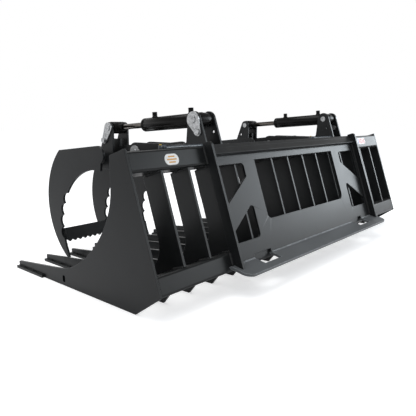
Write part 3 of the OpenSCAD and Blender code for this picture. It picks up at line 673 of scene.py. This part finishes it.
def weld_beams(mesh, x, way, outer, leg):
    """Welds one face of a tine or side plate to the top beam and the bottom beam."""
    under = -TOP_BEAM[1]
    straight_bead(mesh, on_back(x, WELD_INSET - TOP_BEAM[0], under), on_back(x, -WELD_INSET, under),
                  way, -UP_BACK, leg)
    low_top = LOW_BEAM[1] - BACK_LEN
    straight_bead(mesh, on_back(x, WELD_INSET - LOW_BEAM[0], low_top), on_back(x, -WELD_INSET, low_top),
                  way, UP_BACK, leg)
    low_end = (END_INSET - BACK_LEN) if outer else (HEEL_INSET - TINE_HEEL_DROP)
    straight_bead(mesh, on_back(x, -LOW_BEAM[0], low_top - WELD_INSET),
                  on_back(x, -LOW_BEAM[0], low_end), way, -REAR, leg)
    if outer:
        straight_bead(mesh, on_back(x, -TOP_BEAM[0], -END_INSET),
                      on_back(x, -TOP_BEAM[0], WELD_INSET - TOP_BEAM[1]), way, -REAR, leg)


def weld_cross_bar(mesh, x, way, leg):
    """Welds the front and the rear of the cross bar to one face of a plate."""
    middle, height = CROSS_BAR_MIDDLE
    rise = CROSS_BAR[1] / 2 - BAR_WELD_INSET
    for facing in (FORWARD, -FORWARD):
        y = middle + facing.y * CROSS_BAR[0] / 2
        straight_bead(mesh, Vector((x, y, height - rise)), Vector((x, y, height + rise)),
                      way, facing, leg)


class GRAPPLE_OT_tine_welds(bpy.types.Operator):
    """Weld the tines to the beams, the cross bar and their wear bars"""

    bl_idname = "grapple.tine_welds"
    bl_label = "Tine welds"

    def execute(self, context):
        leg = context.scene.grapple_details.weld_leg
        mesh = bmesh.new()
        for middle in plate_places():
            outer = abs(middle) > SIDE_X - PLATE
            for x, way in faces_of(middle, inner_only=outer):
                weld_beams(mesh, x, way, outer, leg)
                weld_cross_bar(mesh, x, way, 0.7 * leg)
            for x, way in faces_of(middle):
                for y in TIP_WELD_STARTS:
                    straight_bead(mesh, Vector((x, y, TIP_BAR_T)), Vector((x, y + TIP_WELD_LEN, TIP_BAR_T)),
                                  way, UP, 0.8 * leg)
        finish_piece(mesh, "tine_welds", "frame", "powder_coat")
        return {"FINISHED"}


def weld_gussets(mesh, side, leg):
    """Welds one gusset to the hitch plate and, on its outer side, to the beams."""
    inner = side * HITCH_HALF
    outer = side * (HITCH_HALF + PLATE)
    low, high = GUSSET_WELD
    straight_bead(mesh, on_back(inner, HITCH_T, low), on_back(inner, HITCH_T, high),
                  -side * ACROSS, REAR, leg)
    for low, high in GUSSET_OUTER_WELDS:
        straight_bead(mesh, on_back(outer, 0, low), on_back(outer, 0, high), side * ACROSS, REAR, leg)


def weld_brackets(mesh, side, leg):
    """Welds the two bracket plates of one side to the top and the front of the top beam."""
    front, rear = BRACKET_TOP_WELD
    high, low = BRACKET_FRONT_WELD
    for plate in (-1, 1):
        for x, way in faces_of(side * ARM_X + plate * (FORK_HALF + PLATE / 2)):
            straight_bead(mesh, on_back(x, front, 0), on_back(x, rear, 0), way, UP_BACK, leg)
            straight_bead(mesh, on_back(x, -TOP_BEAM[0], high), on_back(x, -TOP_BEAM[0], low),
                          way, -REAR, leg)


def stitch_lip(mesh):
    """Short welds between the hitch plate and the top of the beam, clear of the brackets."""
    for number in range(-4, 5):
        x = number * STITCH_PITCH
        if abs(abs(x) - ARM_X) > STITCH_CLEARANCE:
            straight_bead(mesh, on_back(x - STITCH_HALF, 0, 0), on_back(x + STITCH_HALF, 0, 0),
                          UP_BACK, -REAR, STITCH_LEG)


class GRAPPLE_OT_hitch_welds(bpy.types.Operator):
    """Weld the hitch plate, its gussets, its ledge and the brackets"""

    bl_idname = "grapple.hitch_welds"
    bl_label = "Hitch and bracket welds"

    def execute(self, context):
        leg = context.scene.grapple_details.weld_leg
        mesh = bmesh.new()
        for side in (-1, 1):
            weld_gussets(mesh, side, leg)
            weld_brackets(mesh, side, leg)
        stitch_lip(mesh)
        finish_piece(mesh, "hitch_and_bracket_welds", "frame", "powder_coat")
        mesh = bmesh.new()
        along_ledge = Vector((0, math.cos(LEDGE_FALL), -math.sin(LEDGE_FALL)))
        for x0, x1 in ((-HITCH_HALF, -LATCH[1]), (-LATCH[0], LATCH[0]), (LATCH[1], HITCH_HALF)):
            straight_bead(mesh, on_back(x0, HITCH_T, -HITCH_DROP), on_back(x1, HITCH_T, -HITCH_DROP),
                          along_ledge, UP_BACK, 0.6 * leg)
        # The ledge weld gets the same painted sheen as the ledge
        finish_piece(mesh, "ledge_weld", "frame", "scuffed_coat")
        return {"FINISHED"}


def weld_tubes(mesh, middle, way, leg):
    """Welds around the cross tube and the hub on one side of a centre claw."""
    axis = way * ACROSS
    for offset, facing in ((PLATE / 2, 1), (FORK_HALF, -1), (FORK_HALF + PLATE, 1),
                           (CLAW_PITCH - PLATE / 2, -1)):
        ring_bead(mesh, at(middle + way * offset, CROSS_TUBE), facing * axis, CROSS_TUBE_R, leg)
    ring_bead(mesh, at(middle + way * PLATE / 2, ARM_PIVOT), axis, HUB_R, 0.8 * leg)


def weld_tooth_plate(mesh, middle, way, leg):
    """Welds both ends of the serrated plate on one side of a centre claw."""
    up = Vector((0, -math.sin(TOOTH_PLATE_TILT), math.cos(TOOTH_PLATE_TILT)))
    out = Vector((0, math.cos(TOOTH_PLATE_TILT), math.sin(TOOTH_PLATE_TILT)))
    low, high = TOOTH_WELD
    for offset, facing in ((PLATE / 2, way * ACROSS), (CLAW_PITCH - PLATE / 2, -way * ACROSS)):
        for face in (-1, 1):
            corner = at(middle + way * offset, TOOTH_PLATE) + face * PLATE / 2 * out
            straight_bead(mesh, corner + low * up, corner + high * up, facing, face * out, leg)


class GRAPPLE_OT_arm_welds(bpy.types.Operator):
    """Weld the claws and lugs to the cross tubes, hubs and serrated plates"""

    bl_idname = "grapple.arm_welds"
    bl_label = "Arm welds"

    def execute(self, context):
        leg = context.scene.grapple_details.weld_leg
        for name, side in (("left", 1), ("right", -1)):
            mesh = bmesh.new()
            for way in (-1, 1):
                weld_tubes(mesh, side * ARM_X, way, leg)
                weld_tooth_plate(mesh, side * ARM_X, way, 0.8 * leg)
            finish_piece(mesh, f"{name}_arm_welds", f"{name}_arm", "powder_coat")
        return {"FINISHED"}


def weld_port(mesh, centre, along, up):
    """Welds around a port boss, where it leaves the round barrel."""
    path, outward = [], []
    for i in range(PORT_WELD_STEPS):
        turn = 2 * math.pi * i / PORT_WELD_STEPS
        way = math.cos(turn) * ACROSS + math.sin(turn) * along
        rise = math.sqrt(BARREL_R ** 2 - (PORT_R * math.cos(turn)) ** 2)
        path.append(centre + PORT_R * way + rise * up)
        outward.append(way)
    add_bead(mesh, path, outward, [up] * PORT_WELD_STEPS, PORT_WELD_LEG, closed=True)


class GRAPPLE_OT_cylinder_welds(bpy.types.Operator):
    """Weld the base eyes, the port bosses and the rod eyes"""

    bl_idname = "grapple.cylinder_welds"
    bl_label = "Cylinder welds"

    def execute(self, context):
        along, up = ram_axes()
        span = (at(0, ROD_PIN) - at(0, BASE_PIN)).length
        for name, side in (("left", 1), ("right", -1)):
            base = at(side * ARM_X, BASE_PIN)
            mesh = bmesh.new()
            for axis in (along, -along):
                ring_bead(mesh, base + BARREL_START * along, axis, BARREL_R - BASE_WELD_SINK, BASE_WELD_LEG)
            for place in PORTS:
                weld_port(mesh, base + place * along, along, up)
            finish_piece(mesh, f"{name}_cylinder_welds", f"{name}_cylinder",
                         "cylinder_enamel")
            mesh = bmesh.new()
            ring_bead(mesh, base + (span - EYE_NECK_LEN) * along, -along, ROD_R, ROD_WELD_LEG)
            finish_piece(mesh, f"{name}_rod_weld", f"{name}_ram", "cylinder_enamel")
        return {"FINISHED"}


def add_lathe(mesh, centre, axis, profile, count=40):
    """A closed turned shape from (radius, height) points, radius above 0."""
    side = axis.orthogonal().normalized()
    rings = []
    for i in range(count):
        way = Matrix.Rotation(2 * math.pi * i / count, 3, axis) @ side
        rings.append([mesh.verts.new(centre + r * way + h * axis) for r, h in profile])
    for i in range(count):
        here, there = rings[i], rings[(i + 1) % count]
        for j in range(len(profile)):
            k = (j + 1) % len(profile)
            mesh.faces.new((here[j], here[k], there[k], there[j]))


# Seats of the wipers and plugs, and depths below the top of a port boss
WIPER_GAP = 0.0002
WIPER_SINK = 0.0006
WIPER_RISE = 0.003
PLUG_GAP = 0.0002
PLUG_LEN = 0.011
PLUG_TOP = 0.0007
PLUG_CHAMFER = 0.0008
PLUG_SOCKET_R = 0.0045
PLUG_SOCKET_DEPTH = 0.003
PLUG_EYE_R = 0.0004


def wiper_profile(width):
    """Half section of a rod wiper, as (radius, height above the gland)."""
    inner = ROD_R + WIPER_GAP
    return [(inner, -WIPER_SINK), (inner + width, -WIPER_SINK), (inner + width, 0.4 * WIPER_RISE),
            (inner + 0.7 * width, 0.0022), (inner + 0.3 * width, WIPER_RISE), (inner, WIPER_RISE)]


def plug_profile():
    """Half section of a port plug with a sunk socket, as (radius, height above the barrel's axis)."""
    radius = PORT_HOLE_R - PLUG_GAP
    low, high = PORT_TOP - PLUG_LEN, PORT_TOP - PLUG_TOP
    socket = PORT_TOP - PLUG_SOCKET_DEPTH
    return [(PLUG_EYE_R, low), (radius, low), (radius, high - PLUG_CHAMFER), (radius - 0.0006, high),
            (PLUG_SOCKET_R, high), (PLUG_SOCKET_R - 0.0005, socket), (PLUG_EYE_R, socket)]


class GRAPPLE_OT_fittings(bpy.types.Operator):
    """Add the rod wipers at the glands and the plugs in the ports"""

    bl_idname = "grapple.fittings"
    bl_label = "Wipers and plugs"

    def execute(self, context):
        width = context.scene.grapple_details.wiper_width
        along, up = ram_axes()
        for name, side in (("left", 1), ("right", -1)):
            base = at(side * ARM_X, BASE_PIN)
            mesh = bmesh.new()
            add_lathe(mesh, base + GLAND_FRONT * along, along, wiper_profile(width))
            finish_piece(mesh, f"{name}_rod_wiper", f"{name}_cylinder", "rubber")
            mesh = bmesh.new()
            for place in PORTS:
                add_lathe(mesh, base + place * along, up, plug_profile(), count=36)
            finish_piece(mesh, f"{name}_port_plugs", f"{name}_cylinder", "rubber")
        return {"FINISHED"}


def add_film(mesh, centre, across, upward, outward, width, height, corner, low, high, index):
    """A thin plate with round corners that lies on a face, from low to high above it."""
    points = []
    steps = 5
    for quarter, (sx, sz) in enumerate(((1, 1), (-1, 1), (-1, -1), (1, -1))):
        for step in range(steps + 1):
            turn = math.pi / 2 * (quarter + step / steps)
            points.append((sx * (width / 2 - corner) + corner * math.cos(turn),
                           sz * (height / 2 - corner) + corner * math.sin(turn)))
    lower, upper = (
        [mesh.verts.new(centre + u * across + v * upward + level * outward) for u, v in points]
        for level in (low, high))
    made = [mesh.faces.new(upper), mesh.faces.new(lower[::-1])]
    for i in range(len(points)):
        j = (i + 1) % len(points)
        made.append(mesh.faces.new((lower[i], lower[j], upper[j], upper[i])))
    for face in made:
        face.material_index = index


# Painted shade on the flush ends of the cross bar in the side plates, a dark film where a sunk end would lie
# in shadow: place over the bar's middle, size and corner
BAR_END_RISE = 0.002
BAR_END_SIZE = (0.014, 0.024)
BAR_END_CORNER = 0.005

# Places of the labels on the back, as (x, up from the back's top), and the sizes of their bars
NEAR_LABEL_PLACE = (0.7329, -0.037)
NEAR_BAR_PITCH = 0.0092
NEAR_BAR_HEIGHT = 0.0046
NEAR_BAR_CORNER = 0.002
FAR_LABEL_PLACE = (-0.708, -0.031)
FAR_LABEL_CORNER = 0.003
FAR_BAR_PITCH = 0.0182
FAR_BAR_SIZE = (0.0112, 0.027)
FAR_BAR_CORNER = 0.001
BAR_THICKNESS = 1.6


class GRAPPLE_OT_bar_ends(bpy.types.Operator):
    """Lay dark films as painted shade over the flush ends of the cross bar in the side plates"""

    bl_idname = "grapple.bar_ends"
    bl_label = "Cross bar ends"

    def execute(self, context):
        thick = context.scene.grapple_details.film_thickness
        place = (CROSS_BAR_MIDDLE[0], CROSS_BAR_MIDDLE[1] + BAR_END_RISE)
        mesh = bmesh.new()
        for side in (-1, 1):
            add_film(mesh, at(side * (SIDE_X + PLATE / 2), place), FORWARD, UP, side * ACROSS,
                     *BAR_END_SIZE, BAR_END_CORNER, -thick, thick, 0)
        finish_piece(mesh, "cross_bar_end_shade", "frame", "dark_recess", smooth=False)
        return {"FINISHED"}


def add_near_label(sizes):
    """A rounded label with three amber bars, the middle one widest."""
    thick = sizes.film_thickness
    width, height = sizes.near_label
    x, up = NEAR_LABEL_PLACE
    middle = on_back(x, 0, up)
    mesh = bmesh.new()
    add_film(mesh, middle, ACROSS, UP_BACK, REAR, width, height, 0.48 * height, -thick, thick, 0)
    for row in (-1, 0, 1):
        add_film(mesh, middle + NEAR_BAR_PITCH * row * UP_BACK, ACROSS, UP_BACK, REAR,
                 width * (0.7 - 0.22 * abs(row)), NEAR_BAR_HEIGHT, NEAR_BAR_CORNER,
                 0, BAR_THICKNESS * thick, 1)
    finish_piece(mesh, "near_label", "frame", ("label_film", "label_amber"), smooth=False)


def add_far_label(sizes):
    """A long label with five upright bars, the last one blue and the others red."""
    thick = sizes.film_thickness
    x, up = FAR_LABEL_PLACE
    middle = on_back(x, 0, up)
    mesh = bmesh.new()
    add_film(mesh, middle, ACROSS, UP_BACK, REAR, *sizes.far_label, FAR_LABEL_CORNER, -thick, thick, 0)
    for column in range(-2, 3):
        add_film(mesh, middle + FAR_BAR_PITCH * column * ACROSS, ACROSS, UP_BACK, REAR,
                 *FAR_BAR_SIZE, FAR_BAR_CORNER, 0, BAR_THICKNESS * thick, 2 if column == 2 else 1)
    finish_piece(mesh, "far_label", "frame", ("label_film", "label_red", "label_blue"), smooth=False)


class GRAPPLE_OT_labels(bpy.types.Operator):
    """Lay two plain labels with coloured bars on the rear face of the top beam"""

    bl_idname = "grapple.labels"
    bl_label = "Plain labels"

    def execute(self, context):
        add_near_label(context.scene.grapple_details)
        add_far_label(context.scene.grapple_details)
        return {"FINISHED"}


# Lamps as (place, aim, width and height), the tint of two of them, and the floor and world of the stage
TOP_LAMP = ((0.6, -0.4, 3.2), (0, 0, 0.2), (3.0, 2.4))
SIDE_LAMP = ((-2.7, 2.05, 1.35), (0, 0.2, 0.35), (3.4, 1.7))
FAR_LAMP = ((-3.9, 1.75, 1.2), (-0.4, 0.2, 0.3), (1.7, 1.3))
WHITE = (1.0, 1.0, 1.0)
COOL = (0.86, 0.94, 1.0)
ROOM_COLOR = (0.62, 0.63, 0.65)
FLOOR_REACH = 20.0
FLOOR_DROP = 0.0005
FLOOR_MIRROR_SHARE = 0.12
DOME_EDGE = (0.15, 0.5)


def add_lamp(name, setting, power, tint):
    """A soft rectangular lamp that looks at a point."""
    place, aim, (width, height) = setting
    light = bpy.data.lights.new(name, "AREA")
    light.color = tint
    light.shape = "RECTANGLE"
    light.size, light.size_y = width, height
    light.energy = power
    lamp = bpy.data.objects.new(name, light)
    bpy.context.scene.collection.objects.link(lamp)
    lamp.location = place
    lamp.rotation_euler = (Vector(aim) - Vector(place)).to_track_quat("-Z", "Y").to_euler()


def set_camera(scene, stage):
    """The camera, with the lens, place and turn of the stage settings."""
    eye = bpy.data.cameras.new("camera")
    eye.sensor_width = 36
    eye.lens = stage.lens
    eye.clip_start, eye.clip_end = 0.05, 60
    camera = bpy.data.objects.new("camera", eye)
    scene.collection.objects.link(camera)
    camera.location = stage.camera_place
    camera.rotation_euler = stage.camera_turn
    scene.camera = camera


def floor_material(stage):
    """Pale matt floor that glows a little where the camera sees it, and less in mirrors."""
    material, tree, shader = blank_material("pale_floor")
    shader.inputs["Base Color"].default_value = (*stage.floor, 1.0)
    shader.inputs["Roughness"].default_value = 0.9
    shader.inputs["Specular IOR Level"].default_value = 0.1
    rays = put(tree, "ShaderNodeLightPath")
    mirrored = times(tree, rays.outputs["Is Glossy Ray"], FLOOR_MIRROR_SHARE)
    seen = put(tree, "ShaderNodeMath", links={0: rays.outputs["Is Camera Ray"], 1: mirrored},
               operation="MAXIMUM")
    tree.links.new(times(tree, seen.outputs[0], stage.floor_glow), shader.inputs["Emission Strength"])
    shader.inputs["Emission Color"].default_value = (*WHITE, 1.0)
    return material


def lay_floor(scene, stage):
    """A wide plain floor just under the part."""
    mesh = bpy.data.meshes.new("floor")
    corners = ((-1, -1), (1, -1), (1, 1), (-1, 1))
    mesh.from_pydata([(FLOOR_REACH * x, FLOOR_REACH * y, 0) for x, y in corners], [], [(0, 1, 2, 3)])
    floor = bpy.data.objects.new("floor", mesh)
    scene.collection.objects.link(floor)
    floor.location.z = -FLOOR_DROP
    mesh.materials.append(floor_material(stage))


def set_world(scene, stage):
    """White behind the part, a darker dome overhead in reflections, and soft grey light."""
    world = bpy.data.worlds.new("studio")
    scene.world = world
    world.use_nodes = True
    tree = world.node_tree
    room = tree.nodes["Background"]
    room.inputs["Color"].default_value = (*ROOM_COLOR, 1.0)
    room.inputs["Strength"].default_value = 1.0
    white = put(tree, "ShaderNodeBackground", {"Color": (*WHITE, 1.0), "Strength": 1.0})
    where = put(tree, "ShaderNodeTexCoord")
    parts = put(tree, "ShaderNodeSeparateXYZ", links={"Vector": where.outputs["Generated"]})
    low, high = DOME_EDGE
    dome = put(tree, "ShaderNodeMapRange",
               {"From Min": low, "From Max": high, "To Min": 1.0, "To Max": stage.dome_shade},
               {"Value": parts.outputs["Z"]})
    sheen = put(tree, "ShaderNodeBackground", {"Color": (*WHITE, 1.0)},
                {"Strength": dome.outputs["Result"]})
    rays = put(tree, "ShaderNodeLightPath")
    clear = put(tree, "ShaderNodeMath", links={0: rays.outputs["Is Camera Ray"],
                                               1: rays.outputs["Is Transmission Ray"]},
                operation="MAXIMUM")
    behind = put(tree, "ShaderNodeMixShader",
                 links={0: clear.outputs[0], 1: room.outputs[0], 2: white.outputs[0]})
    blend = put(tree, "ShaderNodeMixShader",
                links={0: rays.outputs["Is Glossy Ray"], 1: behind.outputs[0], 2: sheen.outputs[0]})
    tree.links.new(blend.outputs[0], tree.nodes["World Output"].inputs["Surface"])


class GRAPPLE_OT_stage(bpy.types.Operator):
    """Set up the camera, the pale floor, the world and the soft lamps"""

    bl_idname = "grapple.stage"
    bl_label = "Studio stage"

    def execute(self, context):
        scene = context.scene
        stage = scene.grapple_stage
        set_camera(scene, stage)
        lay_floor(scene, stage)
        set_world(scene, stage)
        add_lamp("top_softbox", TOP_LAMP, stage.top_power, WHITE)
        add_lamp("side_softbox", SIDE_LAMP, stage.side_power, COOL)
        add_lamp("far_softbox", FAR_LAMP, stage.far_power, COOL)
        scene.view_settings.view_transform = "Standard"
        return {"FINISHED"}


PIECE_OPERATORS = (
    GRAPPLE_OT_stage, GRAPPLE_OT_frame, GRAPPLE_OT_arms, GRAPPLE_OT_cylinders, GRAPPLE_OT_pins,
    GRAPPLE_OT_lines, GRAPPLE_OT_tine_welds, GRAPPLE_OT_hitch_welds, GRAPPLE_OT_arm_welds,
    GRAPPLE_OT_cylinder_welds, GRAPPLE_OT_fittings, GRAPPLE_OT_bar_ends, GRAPPLE_OT_labels,
)


class GRAPPLE_PT_panel(bpy.types.Panel):
    """Sizes, colours and pieces of the grapple"""

    bl_label = "Brush grapple"
    bl_idname = "GRAPPLE_PT_panel"
    bl_space_type = "VIEW_3D"
    bl_region_type = "UI"
    bl_category = "Grapple"

    def draw(self, context):
        column = self.layout.column()
        for group_name in ("grapple_finishes", "grapple_details", "grapple_stage"):
            settings = getattr(context.scene, group_name)
            for key in settings.__annotations__:
                column.prop(settings, key)
            column.separator()
        for operator in PIECE_OPERATORS:
            column.operator(operator.bl_idname)


CLASSES = (GrappleFinishes, GrappleDetails, GrappleStage, *PIECE_OPERATORS, GRAPPLE_PT_panel)


def register():
    for each in CLASSES:
        bpy.utils.register_class(each)
    bpy.types.Scene.grapple_finishes = bpy.props.PointerProperty(type=GrappleFinishes)
    bpy.types.Scene.grapple_details = bpy.props.PointerProperty(type=GrappleDetails)
    bpy.types.Scene.grapple_stage = bpy.props.PointerProperty(type=GrappleStage)


def unregister():
    del bpy.types.Scene.grapple_stage
    del bpy.types.Scene.grapple_details
    del bpy.types.Scene.grapple_finishes
    for each in reversed(CLASSES):
        bpy.utils.unregister_class(each)


def main():
    """Builds every piece in order."""
    register()
    bpy.ops.grapple.stage()
    bpy.ops.grapple.frame()
    bpy.ops.grapple.arms()
    bpy.ops.grapple.cylinders()
    bpy.ops.grapple.pins()
    bpy.ops.grapple.lines()
    bpy.ops.grapple.tine_welds()
    bpy.ops.grapple.hitch_welds()
    bpy.ops.grapple.arm_welds()
    bpy.ops.grapple.cylinder_welds()
    bpy.ops.grapple.fittings()
    bpy.ops.grapple.bar_ends()
    bpy.ops.grapple.labels()


if __name__ == "__main__":
    main()
